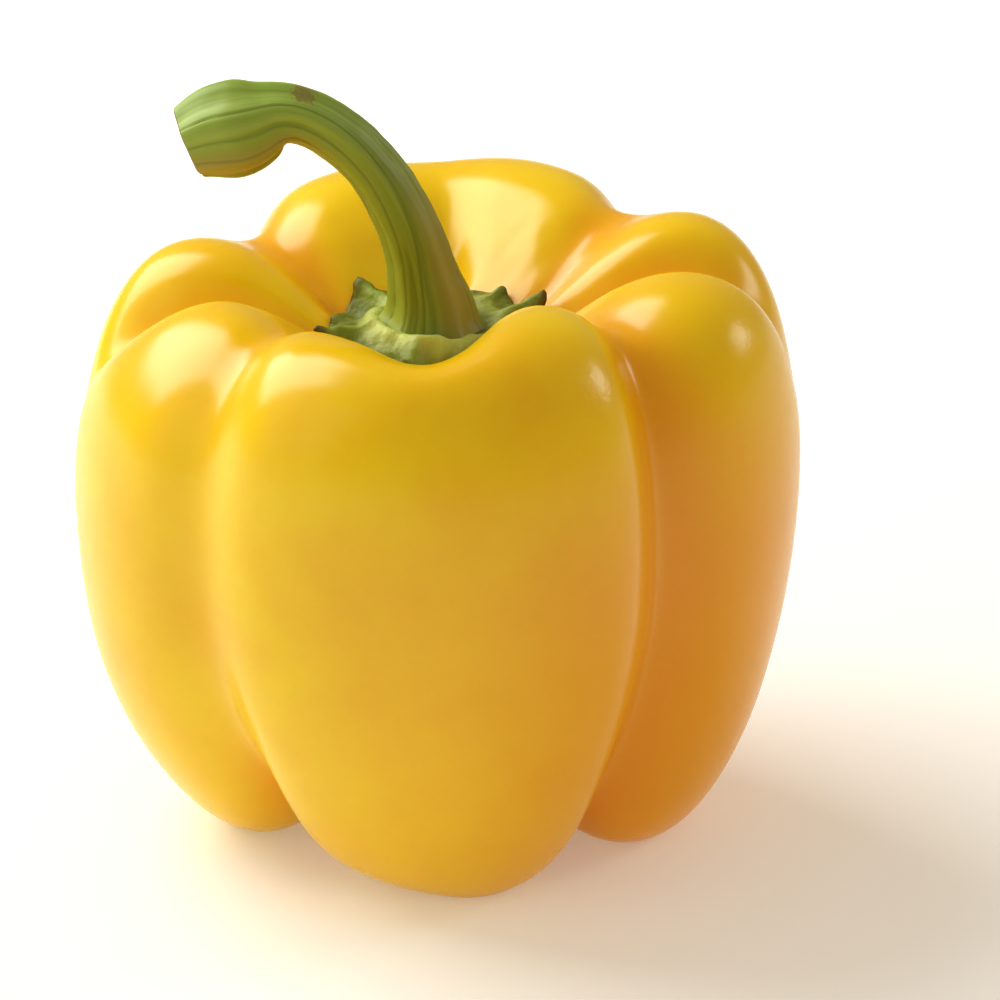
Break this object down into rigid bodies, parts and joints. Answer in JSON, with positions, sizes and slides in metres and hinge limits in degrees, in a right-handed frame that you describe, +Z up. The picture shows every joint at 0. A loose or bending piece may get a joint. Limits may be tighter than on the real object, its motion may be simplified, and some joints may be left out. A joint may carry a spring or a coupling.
{
  "type": "bell pepper",
  "caption": "Blocky yellow bell pepper standing on the ends of its lobes, with a green calyx and a curved green stem.",
  "frame": {"origin": "on the ground, under the middle of the pepper's bounding box", "axes": "+Z up along the fruit's growing axis, +X towards the right lobe, away from the side that the stem leans to, and -Y towards the front lobe"},
  "size_m": [0.0924, 0.091, 0.1019],
  "materials": {
    "yellow_skin": "smooth, waxy and glossy skin of the ripe fruit",
    "calyx_green": "dull green, bumpy, with brown dry tips",
    "stem_green": "silky green, ribbed lengthwise, with a brown corky cut end"
  },
  "bodies": {
    "root": {"fruit": "yellow_skin", "calyx": "calyx_green", "stem": "stem_green"}
  },
  "joints": []
}
